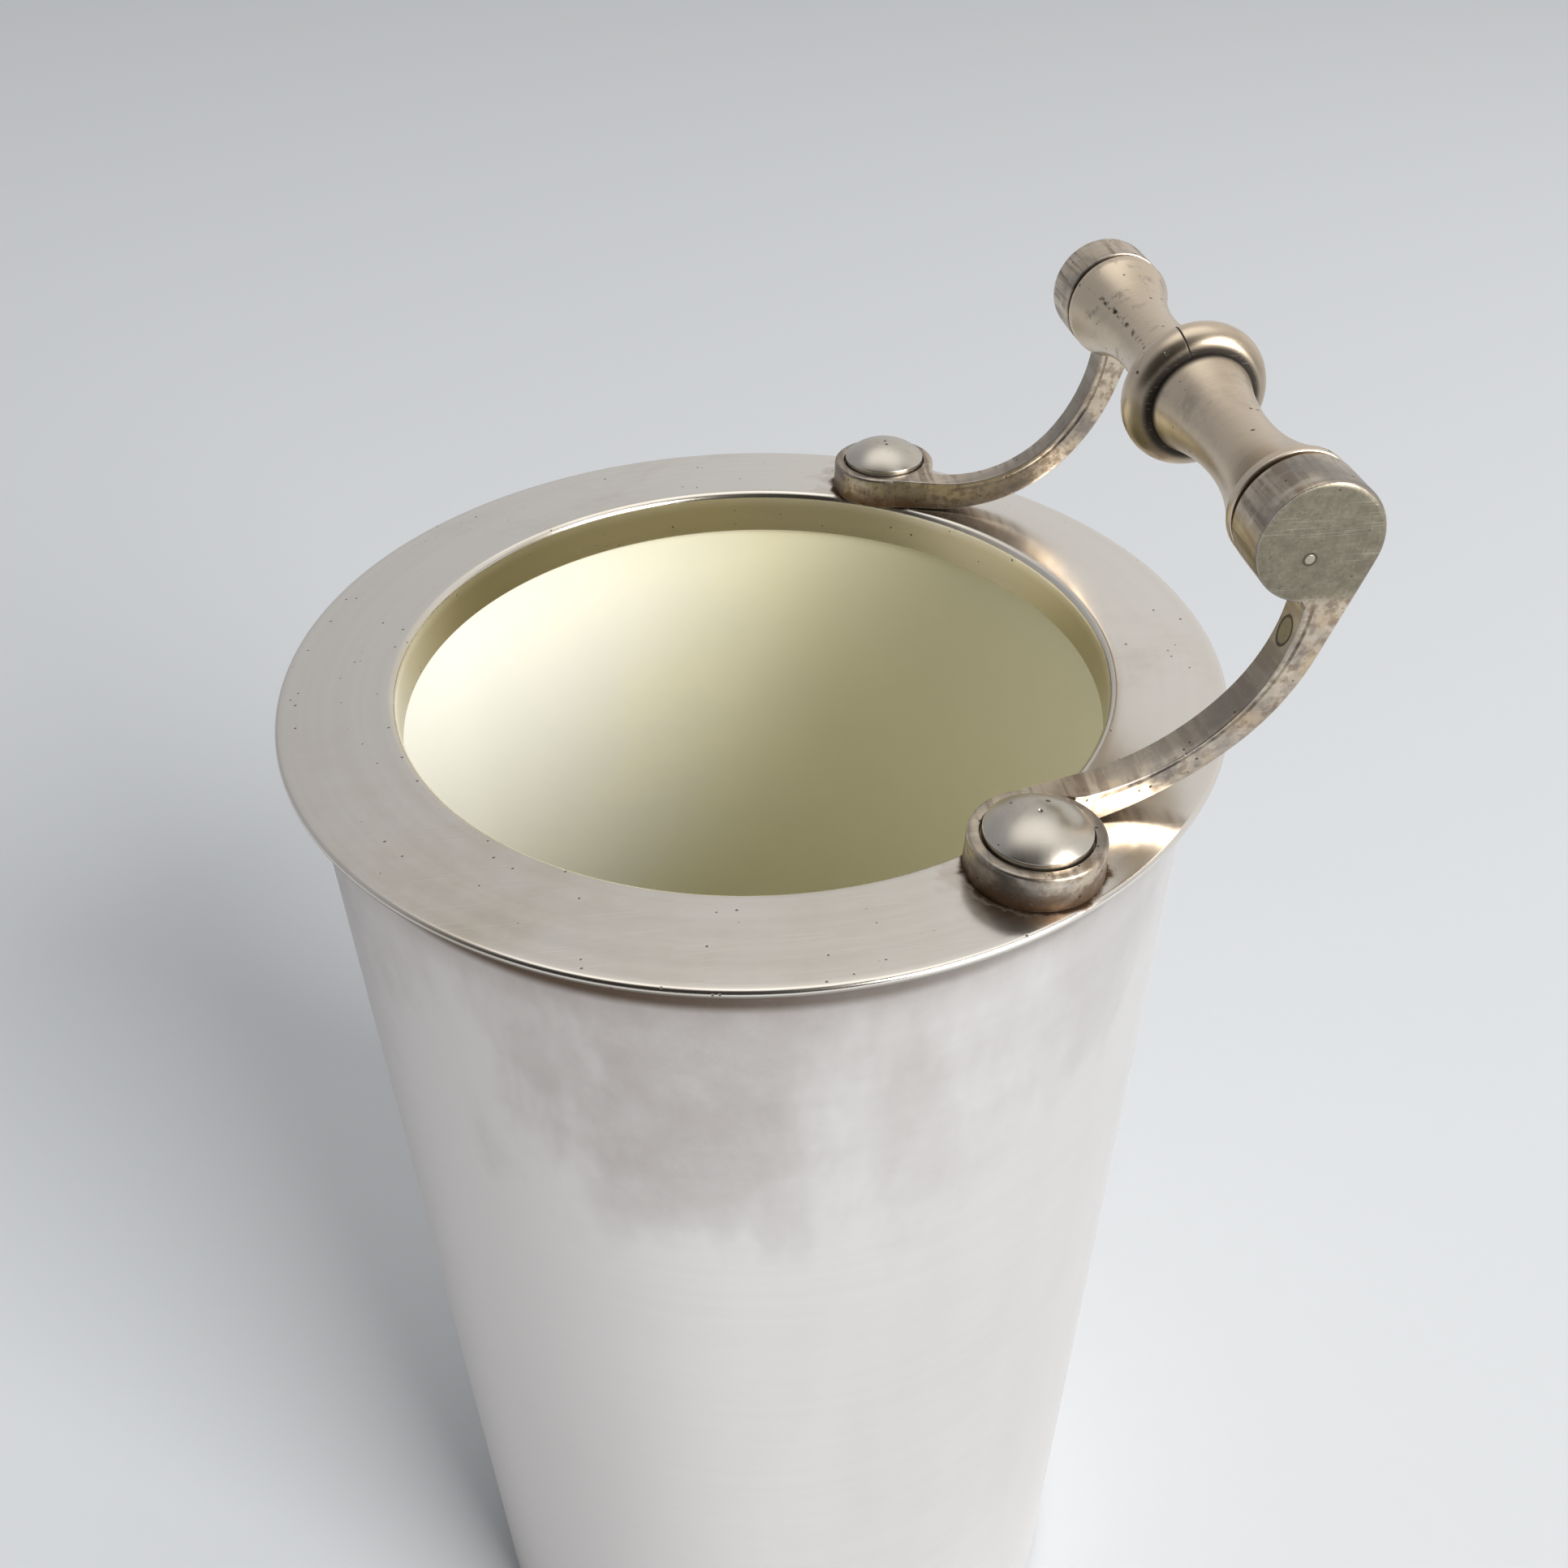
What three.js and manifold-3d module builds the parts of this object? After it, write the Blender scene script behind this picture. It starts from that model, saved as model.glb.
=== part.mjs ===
// Insulated champagne bucket: a straight silver-plated body, a flat ring brim, a plastic liner
// and a spool-shaped lifting grip that turns on a rod between two curved arms.
// Millimetres, +Z up. The origin is on the floor, on the bucket's axis. The grip lies along Y
// on the +X side, "front" is the -Y side and "rear" the +Y side.

import * as THREE from "three";
import { mergeVertices } from "three/addons/utils/BufferGeometryUtils.js";
import Module from "manifold-3d";

const wasm = await Module();
wasm.setup();

// ---- driving dimensions ----------------------------------------------------------------

const seat = 0.05; // gap between faces that rest on each other
const run = 0.1; // radial clearance of what turns on the rod
const press = 0.05; // radial clearance of the rod and pins in the bosses
const slip = 0.25; // radial clearance of a screw in its hole

const height = 330; // floor to the top of the brim
const padRadius = 84;
const padThick = 2;

const bodyRadius = 90; // outside of the silver body
const bodyWall = 1;
const bodyBottom = 1.5;
const bodyCorner = 3;

const brimLip = 5; // how far the brim stands out past the body
const brimThick = 1.8;
const shoulder = 18; // from the body's outside in to the opening
const collarWall = 0.9;
const collarDepth = 10;
const lipRound = 1.6;

const linerGap = 0.3; // between the collar and the liner
const linerWall = 2;
const linerTaper = 2.2; // how much the liner narrows down to its floor
const linerFloor = 20; // height of the liner's inner floor
const linerBottom = 2.5;
const linerCorner = 6;
const foamGap = 0.4; // around the insulation
const foamTop = 14; // free height over the sleeve, for the nuts

const eyeOffset = 0.67; // from the middle of the shoulder out to an eye's centre
const eyeTurn = 60.67; // degrees from +X round to each eye
const eyeRadius = 11.8;
const eyeThick = 7;
const eyeRound = 0.8;
const recessDepth = 1.2;
const recessGap = 0.35;

const armThick = 6.2;
const armReach = 44.8; // from an eye's centre out to the grip's axis
const armRise = 50.9; // from the brim up to the grip's axis
const armBow = 33.6; // radius of the arm's hollow side
const armFlat = 11; // straight start of the hollow side
const armTwist = 0.9; // how far the hollow side's outer edge dips at mid-arm
const armBackStart = 9; // straight start of the outer side, along the brim
const armBackLift = 0.3; // its rise over that start
const armBackTurn = 71.8; // degrees that the outer side turns before it runs straight
const armLean = 6.9; // how far each arm leans in towards the middle
const leanReach = 37.2; // they lean in over this distance, then run parallel
const leanPower = 1.72; // how early they lean in

const bossRadius = 10.7;
const bossWidth = 10.3;
const bossRound = 0.8;

const gripGap = 1.3; // between a boss and its spool
const ringRadius = 13.8;
const ringWidth = 9;
const spoolInner = 9.7; // spool radius at the ring
const spoolOuter = 10.6; // spool radius at the boss
const spoolNeck = 6.6;
const spoolRim = 1.5;

const rodRadius = 2.5;
const rodSeat = 6.5; // depth of the rod's hole in each boss
const rodEnd = 0.5; // from the rod's end to the bottom of that hole
const spacerRadius = 5;
const spacerSide = 0.15; // clearance on each side of a spacer

const pinRadius = 0.85;
const pinDepth = 3;
const pinOffsetX = -1.4; // from the grip's axis
const pinOffsetZ = -2.7;

const headRadius = 9.3;
const headEdge = 2.15;
const headDome = 3.8;
const screwRadius = 2.5;
const nutAcross = 8;
const nutThick = 4;
const washerGap = 1.4; // from a washer to the body and to the liner, were it midway
const washerThick = 1;
const plateThick = 2;
const plateSpan = 20; // degrees of the ring that a backing plate covers
const plateEdge = 1.2; // from a plate to the body and to the liner
const tipOut = 1.4; // screw length past its nut

const bigRound = 64;
const midRound = 36;
const smallRound = 24;

// ---- materials -------------------------------------------------------------------------

const finish = (color, roughness, metalness) =>
  new THREE.MeshStandardMaterial({ color, roughness, metalness });

const silver = finish(0xb9b2aa, 0.3, 1);
const oldSilver = finish(0x8f887c, 0.4, 1);
const steel = finish(0xa8aaac, 0.45, 1);
const cream = finish(0xe4e2c2, 0.45, 0);
const foam = finish(0xe9e9e6, 0.9, 0);
const felt = finish(0x2c2a28, 0.95, 0);

// ---- shape helpers ---------------------------------------------------------------------

const bucket = new THREE.Group();

// Adds one named piece.
function add(name, geometry, material, x = 0, y = 0, z = 0) {
  const mesh = new THREE.Mesh(geometry, material);
  mesh.name = name;
  mesh.position.set(x, y, z);
  bucket.add(mesh);
}

// Points of an arc from one angle to the other, in degrees.
function arc(cx, cy, radius, from, to, steps) {
  const points = [];
  for (let i = 0; i <= steps; i++) {
    const a = THREE.MathUtils.degToRad(from + ((to - from) * i) / steps);
    points.push([cx + radius * Math.cos(a), cy + radius * Math.sin(a)]);
  }
  return points;
}

// Solid of revolution about +Y from [radius, y] points that run anticlockwise.
function turnY(points, segments) {
  const profile = points.map(([r, y]) => new THREE.Vector2(r, y));
  if (points[0][0] > 0) profile.push(profile[0].clone());
  return new THREE.LatheGeometry(profile, segments);
}

// The same about +Z, from [radius, z] points.
function turnZ(points, segments) {
  return turnY(points, segments).rotateX(Math.PI / 2);
}

// A disc or washer about +Z between two heights.
function disc(outer, bore, low, high, segments) {
  if (bore === 0) return turnZ([[0, low], [outer, low], [outer, high], [0, high]], segments);
  return turnZ([[bore, low], [outer, low], [outer, high], [bore, high]], segments);
}

// The geometry as a solid that can be cut and joined.
function solid(geometry) {
  const bare = geometry.clone();
  bare.deleteAttribute("normal");
  bare.deleteAttribute("uv");
  const merged = mergeVertices(bare, 1e-4);
  const mesh = new wasm.Mesh({
    numProp: 3,
    vertProperties: merged.attributes.position.array,
    triVerts: new Uint32Array(merged.index.array),
  });
  return new wasm.Manifold(mesh);
}

// A cut or joined solid as a geometry.
function shape(manifold) {
  const mesh = manifold.getMesh();
  const geometry = new THREE.BufferGeometry();
  geometry.setAttribute("position", new THREE.BufferAttribute(mesh.vertProperties, 3));
  geometry.setIndex(new THREE.BufferAttribute(mesh.triVerts, 1));
  geometry.computeVertexNormals();
  return geometry;
}

// A closed bar through four-cornered stations along +X. Each station lists its corners in
// turn: lower -Y, lower +Y, upper +Y and upper -Y.
function bar(stations) {
  const position = stations.flat(2);
  const index = [0, 3, 2, 0, 2, 1];
  for (let i = 0; i + 1 < stations.length; i++) {
    for (let k = 0; k < 4; k++) {
      const a = 4 * i + k;
      const b = 4 * i + ((k + 1) % 4);
      index.push(a, b, b + 4, a, b + 4, a + 4);
    }
  }
  const last = 4 * (stations.length - 1);
  index.push(last, last + 1, last + 2, last, last + 2, last + 3);
  const geometry = new THREE.BufferGeometry();
  geometry.setAttribute("position", new THREE.Float32BufferAttribute(position, 3));
  geometry.setIndex(index);
  return geometry;
}

// ---- places that follow from the sizes -------------------------------------------------

const openingRadius = bodyRadius - shoulder; // clear radius inside the collar
const brimRadius = bodyRadius + brimLip;
const eyeCircle = openingRadius + shoulder / 2 + eyeOffset;
const eyeAngle = THREE.MathUtils.degToRad(eyeTurn);
const eyeX = eyeCircle * Math.cos(eyeAngle);
const eyeY = eyeCircle * Math.sin(eyeAngle);

// The arm's outer face leaves the eye and ends flush with the boss's outer face.
const bossOuter = eyeY - eyeRadius + armThick - armLean;
const bossInner = bossOuter - bossWidth;
const gripX = eyeX + armReach;
const gripZ = height + armRise;

// ---- body, base and insulation ---------------------------------------------------------

const brimUnder = height - brimThick;
const bodyInner = bodyRadius - bodyWall;
const bodyBase = padThick + seat;
const bodyFloor = bodyBase + bodyBottom;

add("base_pad", disc(padRadius, 0, 0, padThick, bigRound), felt);

const shellOutline = [
  [0, bodyBase],
  ...arc(bodyRadius - bodyCorner, bodyBase + bodyCorner, bodyCorner, -90, 0, 4),
  [bodyRadius, brimUnder - seat],
  [bodyInner, brimUnder - seat],
  ...arc(bodyRadius - bodyCorner, bodyBase + bodyCorner, bodyCorner - bodyWall, 0, -90, 3),
];
shellOutline[shellOutline.length - 1][1] = bodyFloor;
add("outer_shell", turnZ([...shellOutline, [0, bodyFloor]], bigRound), silver);

const linerTopInner = openingRadius + collarWall + linerGap;
const linerTopOuter = linerTopInner + linerWall;
const linerLowInner = linerTopInner - linerTaper;
const linerLowOuter = linerLowInner + linerWall;
const linerUnder = linerFloor - linerBottom;
const linerTop = brimUnder - seat;
const outerCorner = linerCorner + linerWall;

const linerOutline = [
  [0, linerUnder],
  ...arc(linerLowOuter - outerCorner, linerUnder + outerCorner, outerCorner, -90, 0, 5),
  [linerTopOuter, linerTop],
  [linerTopInner, linerTop],
  ...arc(linerLowInner - linerCorner, linerFloor + linerCorner, linerCorner, 0, -90, 5),
  [0, linerFloor],
];
add("inner_liner", turnZ(linerOutline, bigRound), cream);

const foamOuter = bodyInner - foamGap;
const foamUnder = bodyFloor + bodyCorner;
const foamDeck = linerUnder - seat;
add(
  "insulation_disc",
  disc(bodyRadius - bodyCorner - foamGap, 0, bodyFloor + seat, foamDeck, bigRound),
  foam,
);
add(
  "insulation_sleeve",
  disc(foamOuter, linerTopOuter + foamGap, foamDeck + seat, height - foamTop, bigRound),
  foam,
);

// ---- brim ------------------------------------------------------------------------------

const eyes = [
  ["front", -1],
  ["rear", 1],
];

// A plain upright cylinder, for cutting.
function post(radius, x, y, low, high, segments) {
  return solid(disc(radius, 0, low, high, segments).translate(x, y, 0));
}

const edgeRound = brimThick / 2;
const brimOutline = [
  [openingRadius, height - collarDepth],
  [openingRadius + collarWall, height - collarDepth],
  [openingRadius + collarWall, brimUnder],
  ...arc(brimRadius - edgeRound, height - edgeRound, edgeRound, -90, 90, 6),
  ...arc(openingRadius + lipRound, height - lipRound, lipRound, 90, 180, 4),
];
let brim = solid(turnZ(brimOutline, bigRound));
for (const [, side] of eyes) {
  const hole = post(
    screwRadius + slip, eyeX, side * eyeY, brimUnder - 1, height + 1, smallRound,
  );
  brim = brim.subtract(hole);
}
add("brim_ring", shape(brim), silver);

// ---- arms ------------------------------------------------------------------------------

// Where the arm's straight outer side runs out onto the boss.
const turn = THREE.MathUtils.degToRad(armBackTurn);
const endU = armReach + bossRadius * Math.sin(turn);
const endZ = armRise - bossRadius * Math.cos(turn);

// The outer side's arc radius and the length of the straight after it.
const reachU = endU - armBackStart;
const reachZ = endZ - armBackLift;
const bend = 1 - Math.cos(turn);
const scale = Math.sin(turn) ** 2 - bend * Math.cos(turn);
const backRadius = (reachU * Math.sin(turn) - reachZ * Math.cos(turn)) / scale;
const backStraight = (reachZ - backRadius * bend) / Math.sin(turn);

// Inward lean of the arm's sides at a distance u from the eye's centre.
function lean(u) {
  const left = 1 - Math.min(Math.max(u / leanReach, 0), 1);
  return armLean * (1 - left ** leanPower);
}

// Point on the hollow side, for t from 0 at the eye to 1 inside the boss.
function hollow(t) {
  const flat = armFlat;
  const length = flat + (armBow * Math.PI) / 2;
  const rest = armRise - (eyeThick + armBow);
  const s = t * (length + rest);
  if (s < flat) return [s, eyeThick];
  if (s > length) return [flat + armBow, eyeThick + armBow + s - length];
  const a = (s - flat) / armBow;
  return [flat + armBow * Math.sin(a), eyeThick + armBow * (1 - Math.cos(a))];
}

// Point on the outer side, for t from 0 under the eye to 1 on the boss.
function back(t) {
  const lead = armBackStart;
  const round = backRadius * turn;
  const s = t * (lead + round + backStraight);
  if (s < lead) return [s, (armBackLift * s) / lead];
  const a = Math.min((s - lead) / backRadius, turn);
  const more = Math.max(s - lead - round, 0);
  return [
    lead + backRadius * Math.sin(a) + more * Math.cos(turn),
    armBackLift + backRadius * (1 - Math.cos(a)) + more * Math.sin(turn),
  ];
}

const armSteps = 18;
const eyeOutline = [
  [0, seat],
  [eyeRadius, seat],
  ...arc(eyeRadius - eyeRound, eyeThick - eyeRound, eyeRound, 0, 90, 3),
  [0, eyeThick],
];
const bossOutline = [
  [0, 0],
  [bossRadius, 0],
  ...arc(bossRadius - bossRound, bossWidth - bossRound, bossRound, 0, 90, 3),
  [0, bossWidth],
];

// A geometry about +Y that points away from the middle, moved to the grip's axis.
function outward(geometry, side, x, y, z) {
  if (side < 0) geometry.rotateZ(Math.PI);
  return geometry.translate(x, side * y, z);
}

// A plain cylinder about Y, from one distance from the middle to another.
function rodY(radius, side, x, from, to, z) {
  const blank = turnY([[0, 0], [radius, 0], [radius, to - from], [0, to - from]], smallRound);
  return outward(blank, side, x, from, z);
}

// One arm: a bar from a round eye on the brim up to a round boss on the grip's axis.
// Here x is counted from the eye's centre and z from the brim.
function arm(side) {
  const stations = [];
  for (let i = 0; i <= armSteps; i++) {
    const [uHigh, zHigh] = hollow(i / armSteps);
    const [uLow, zLow] = back(i / armSteps);
    const near = eyeY - eyeRadius;
    const dip = armTwist * Math.sin((i / armSteps) * Math.PI);
    const inner = [
      [uLow, side * (near - lean(uLow)), Math.max(zLow, seat)],
      [uHigh, side * (near - lean(uHigh)), zHigh],
    ];
    const outer = [
      [uLow, side * (near + armThick - lean(uLow)), Math.max(zLow, seat)],
      [uHigh, side * (near + armThick - lean(uHigh)), zHigh - dip],
    ];
    const [one, two] = side < 0 ? [outer, inner] : [inner, outer];
    stations.push([one[0], two[0], two[1], one[1]]);
  }
  const eye = solid(turnZ(eyeOutline, midRound).translate(0, side * eyeY, 0));
  const boss = solid(outward(turnY(bossOutline, midRound), side, armReach, bossInner, armRise));
  const recess = post(
    headRadius + recessGap, 0, side * eyeY, eyeThick - recessDepth, eyeThick + 1, midRound,
  );
  const screwHole = post(screwRadius + slip, 0, side * eyeY, -1, eyeThick + 1, smallRound);
  const rodHole = solid(rodY(
    rodRadius + press, side, armReach, bossInner - 1, bossInner + rodSeat, armRise,
  ));
  const pinHole = solid(rodY(
    pinRadius + press, side, armReach + pinOffsetX, bossOuter - pinDepth, bossOuter + 1,
    armRise + pinOffsetZ,
  ));
  const whole = eye.add(solid(bar(stations))).add(boss);
  return whole.subtract(recess).subtract(screwHole).subtract(rodHole).subtract(pinHole);
}

for (const [name, side] of eyes) {
  add(`${name}_arm`, shape(arm(side)), oldSilver, eyeX, 0, height);
}

// ---- fasteners of the arms -------------------------------------------------------------

const plateTop = brimUnder - seat;
const plateUnder = plateTop - plateThick;
const washerUnder = plateUnder - seat - washerThick;
const nutUnder = washerUnder - seat - nutThick;
const headUnder = height + eyeThick - recessDepth + seat;
const tip = nutUnder - tipOut;

// The dome's own sphere, from its height and the head's radius.
const domeSphere = (headRadius ** 2 + headDome ** 2) / (2 * headDome);
const domeAngle = THREE.MathUtils.radToDeg(Math.asin(headRadius / domeSphere));
const domeBase = headUnder + headEdge;
const domeArc = arc(0, domeBase + headDome - domeSphere, domeSphere, 90 - domeAngle, 90, 4);
domeArc[domeArc.length - 1][0] = 0;
const screwOutline = [
  [0, tip],
  [screwRadius - 0.5, tip],
  [screwRadius, tip + 0.5],
  [screwRadius, headUnder],
  [headRadius, headUnder],
  [headRadius, domeBase],
  ...domeArc.slice(1),
];

const washerRadius = (bodyInner - linerTopOuter) / 2 - washerGap;
const plateInner = linerTopOuter + plateEdge;
const plateOuter = bodyInner - plateEdge;
const plateHalf = THREE.MathUtils.degToRad(plateSpan / 2);

// A plate that follows the brim, with a hole on the screw.
function plate(side) {
  const middle = side * eyeAngle;
  const outline = new THREE.Shape();
  outline.absarc(0, 0, plateOuter, middle - plateHalf, middle + plateHalf, false);
  outline.absarc(0, 0, plateInner, middle + plateHalf, middle - plateHalf, true);
  outline.closePath();
  const bore = new THREE.Path();
  bore.absarc(eyeX, side * eyeY, screwRadius + slip, 0, 2 * Math.PI, true);
  outline.holes.push(bore);
  return new THREE.ExtrudeGeometry(outline, {
    depth: plateThick,
    bevelEnabled: false,
    curveSegments: 12,
  });
}

// A hexagonal nut with its bore.
function nut(side) {
  const outline = new THREE.Shape();
  const corner = nutAcross / Math.sqrt(3);
  for (const [i, [x, y]] of arc(eyeX, side * eyeY, corner, 0, 300, 5).entries()) {
    if (i === 0) outline.moveTo(x, y);
    else outline.lineTo(x, y);
  }
  const bore = new THREE.Path();
  bore.absarc(eyeX, side * eyeY, screwRadius + slip, 0, 2 * Math.PI, true);
  outline.holes.push(bore);
  return new THREE.ExtrudeGeometry(outline, {
    depth: nutThick,
    bevelEnabled: false,
    curveSegments: 12,
  });
}

for (const [name, side] of eyes) {
  const washer = disc(
    washerRadius, screwRadius + slip, washerUnder, washerUnder + washerThick, smallRound,
  );
  add(`${name}_screw`, turnZ(screwOutline, smallRound), silver, eyeX, side * eyeY);
  add(`${name}_backing_plate`, plate(side), steel, 0, 0, plateUnder);
  add(`${name}_washer`, washer, steel, eyeX, side * eyeY);
  add(`${name}_nut`, nut(side), steel, 0, 0, nutUnder);
}

// ---- grip ------------------------------------------------------------------------------

const rodHalf = bossInner + rodSeat - rodEnd;
const rodOutline = [[0, -rodHalf], [rodRadius, -rodHalf], [rodRadius, rodHalf], [0, rodHalf]];
add("axle_rod", turnY(rodOutline, smallRound), steel, gripX, 0, gripZ);

const gripBore = rodRadius + run;
const ringHalf = ringWidth / 2;
const ringOutline = [
  [gripBore, -ringHalf],
  ...arc(ringRadius - ringHalf, 0, ringHalf, -90, 90, 8),
  [gripBore, ringHalf],
];
add("centre_ring", turnY(ringOutline, midRound), silver, gripX, 0, gripZ);

// Spool profile: a waist that widens to the ring on one side and to a rim at the boss.
const spoolFrom = ringHalf + seat;
const spoolTo = bossInner - gripGap;
const waist = (spoolFrom + spoolTo - spoolRim) / 2;
const spoolSteps = 9;
const spoolOutline = [[gripBore, spoolFrom]];
for (let i = 0; i <= spoolSteps; i++) {
  const y = spoolFrom + ((spoolTo - spoolRim - spoolFrom) * i) / spoolSteps;
  const share = (y - waist) / (spoolTo - spoolRim - waist);
  const wide = share < 0 ? spoolInner : spoolOuter;
  spoolOutline.push([spoolNeck + (wide - spoolNeck) * share ** 2, y]);
}
spoolOutline.push([spoolOuter, spoolTo], [gripBore, spoolTo]);

const spacerOutline = [
  [rodRadius + press, spoolTo + spacerSide],
  [spacerRadius, spoolTo + spacerSide],
  [spacerRadius, bossInner - spacerSide],
  [rodRadius + press, bossInner - spacerSide],
];

for (const [name, side] of eyes) {
  const pin = rodY(
    pinRadius, side, gripX + pinOffsetX, bossOuter - pinDepth + press, bossOuter,
    gripZ + pinOffsetZ,
  );
  add(`${name}_spool`, outward(turnY(spoolOutline, midRound), side, gripX, 0, gripZ), silver);
  add(`${name}_spacer`, outward(turnY(spacerOutline, smallRound), side, gripX, 0, gripZ), steel);
  add(`${name}_pin`, pin, steel);
}

export default bucket;
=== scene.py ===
"""Insulated champagne bucket: finished surfaces, silver and plastic materials, light and view.

Lengths in this file are millimetres in the bucket's own frame, +Z up, until a mesh is made.
"Front" is the -Y side and "rear" the +Y side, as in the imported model.
"""

import math

import bmesh
import bpy
import numpy as np
from mathutils import Matrix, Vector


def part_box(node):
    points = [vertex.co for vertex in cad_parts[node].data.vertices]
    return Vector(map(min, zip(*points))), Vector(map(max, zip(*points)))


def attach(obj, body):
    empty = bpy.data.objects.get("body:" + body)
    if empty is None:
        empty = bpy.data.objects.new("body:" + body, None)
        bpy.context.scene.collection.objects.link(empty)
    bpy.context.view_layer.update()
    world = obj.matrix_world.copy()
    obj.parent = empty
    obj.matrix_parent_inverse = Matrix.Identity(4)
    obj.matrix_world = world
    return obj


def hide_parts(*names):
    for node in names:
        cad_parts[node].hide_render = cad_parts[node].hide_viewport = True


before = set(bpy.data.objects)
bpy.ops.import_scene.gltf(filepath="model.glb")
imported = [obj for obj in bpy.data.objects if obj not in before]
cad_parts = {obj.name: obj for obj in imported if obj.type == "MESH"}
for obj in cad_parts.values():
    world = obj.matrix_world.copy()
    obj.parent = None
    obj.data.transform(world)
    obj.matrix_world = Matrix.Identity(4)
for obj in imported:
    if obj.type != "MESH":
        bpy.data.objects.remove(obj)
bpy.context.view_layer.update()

MM = 0.001


def corners(node):
    """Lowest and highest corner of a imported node, in millimetres."""
    low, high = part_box(node)
    return np.array(low) / MM, np.array(high) / MM


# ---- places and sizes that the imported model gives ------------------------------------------

BRIM_LOW, BRIM_HIGH = corners("brim_ring")
BRIM_TOP = BRIM_HIGH[2]
BRIM_RADIUS = BRIM_HIGH[0]
SHELL_LOW, SHELL_HIGH = corners("outer_shell")
PAD_HIGH = corners("base_pad")[1]
LINER_LOW, LINER_HIGH = corners("inner_liner")
ROD_LOW, ROD_HIGH = corners("axle_rod")
GRIP_X = (ROD_LOW[0] + ROD_HIGH[0]) / 2
GRIP_Z = (ROD_LOW[2] + ROD_HIGH[2]) / 2
SPOOL_LOW, SPOOL_HIGH = corners("rear_spool")
RING_LOW, RING_HIGH = corners("centre_ring")
PIN_LOW, PIN_HIGH = corners("rear_pin")
PIN_X = (PIN_LOW[0] + PIN_HIGH[0]) / 2
PIN_Z = (PIN_LOW[2] + PIN_HIGH[2]) / 2
HEAD_LOW, HEAD_HIGH = corners("rear_screw")
EYE_X = (HEAD_LOW[0] + HEAD_HIGH[0]) / 2
EYE_Y = (HEAD_LOW[1] + HEAD_HIGH[1]) / 2
SIDES = {"front": -1, "rear": 1}

# ---- sizes of the finished surfaces --------------------------------------------------------

BRIM_THICK = 1.8
OPENING = 72.0
COLLAR_WALL = 0.9
EYE_RADIUS = 11.8
EYE_THICK = 7.0
ARM_THICK = 6.2
ARM_REACH = GRIP_X - EYE_X
ARM_RISE = GRIP_Z - BRIM_TOP
ARM_BOW = 33.6
ARM_FLAT = 11.0
ARM_TWIST = 0.9
BACK_START = 9.0
BACK_LIFT = 0.3
BACK_TURN = math.radians(71.8)
LEAN_REACH = 37.2
LEAN_POWER = 1.72
BOSS_RADIUS = 10.7
BOSS_OUTER = PIN_HIGH[1]
BOSS_INNER = BOSS_OUTER - 10.3
BOSS_CAP = 1.45  # how far the arm's round head reaches in over the rest of the boss
BAR_END_RADIUS = 10.5  # circle in the eye that the bar's end follows
GROOVE_INSET = 1.45  # from the arm's hollow side to the groove along it
DOME_RISE = 3.8
RECESS_RADIUS = 9.65
RECESS_DEPTH = 1.2
SCREW_SEAT = 0.05
PIN_RING = 1.05  # radius of the dark ring round a plug
RING_RADIUS = RING_HIGH[2] - GRIP_Z

# The oval dent on the front arm's hollow side: how far round the arc it lies, its middle, the
# directions along the arc and out of it, and half its length and width.
DENT_TURN = math.radians(77)
DENT = (
    EYE_X + ARM_FLAT + ARM_BOW * math.sin(DENT_TURN),
    -(BOSS_OUTER - ARM_THICK / 2),
    BRIM_TOP + EYE_THICK + ARM_BOW * (1 - math.cos(DENT_TURN)),
)
DENT_ALONG = (0.24, 0, 0.97)
DENT_THROUGH = (-0.97, 0, 0.24)
DENT_HALF_LENGTH = 2.9
DENT_HALF_WIDTH = 2.1


# ---- surfaces ------------------------------------------------------------------------------


def fillet(points, steps=6):
    """A line of [across, along, radius] corners with each corner rounded to its radius.

    The rounding is an arc that touches both sides: its centre lies on the corner's bisector,
    and it starts radius / tan(half the corner's angle) before the corner.
    """
    points = [np.array(p, float) for p in points]
    line = []
    for i, point in enumerate(points):
        here, radius = point[:2], point[2] if len(point) > 2 else 0.0
        if radius <= 0 or i in (0, len(points) - 1):
            line.append(here)
            continue
        back = points[i - 1][:2] - here
        ahead = points[i + 1][:2] - here
        back /= np.linalg.norm(back)
        ahead /= np.linalg.norm(ahead)
        half = math.acos(np.clip(back @ ahead, -1, 1)) / 2
        run = radius / math.tan(half)
        middle = (back + ahead) / np.linalg.norm(back + ahead)
        centre = here + middle * radius / math.sin(half)
        first = here + back * run - centre
        last = here + ahead * run - centre
        sweep = math.atan2(first[0] * last[1] - first[1] * last[0], first @ last)
        for a in np.linspace(0, sweep, steps + 1):
            c, s = math.cos(a), math.sin(a)
            line.append(centre + [c * first[0] - s * first[1], s * first[0] + c * first[1]])
    return np.array(line)


def turned(line, segments=192, axis="z", centre=(0.0, 0.0, 0.0)):
    """A line of [radius, height] points carried once round an axis.

    The point at angle a is radius * (cos a, sin a) across the axis and height along it.
    """
    line = np.asarray(line, float)
    a = np.linspace(0, 2 * math.pi, segments + 1)
    a[-1] = 0.0
    across = line[:, :1] * np.cos(a)
    other = line[:, :1] * np.sin(a)
    along = np.broadcast_to(line[:, 1:2], across.shape)
    order = (across, other, along) if axis == "z" else (across, along, other)
    return np.stack(order, axis=-1) + np.asarray(centre, float)


def closed_turn(line, **where):
    """The same for a line that misses the axis, joined back to its first point."""
    line = np.asarray(line, float)
    return turned(np.vstack([line, line[:1]]), **where)


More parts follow.
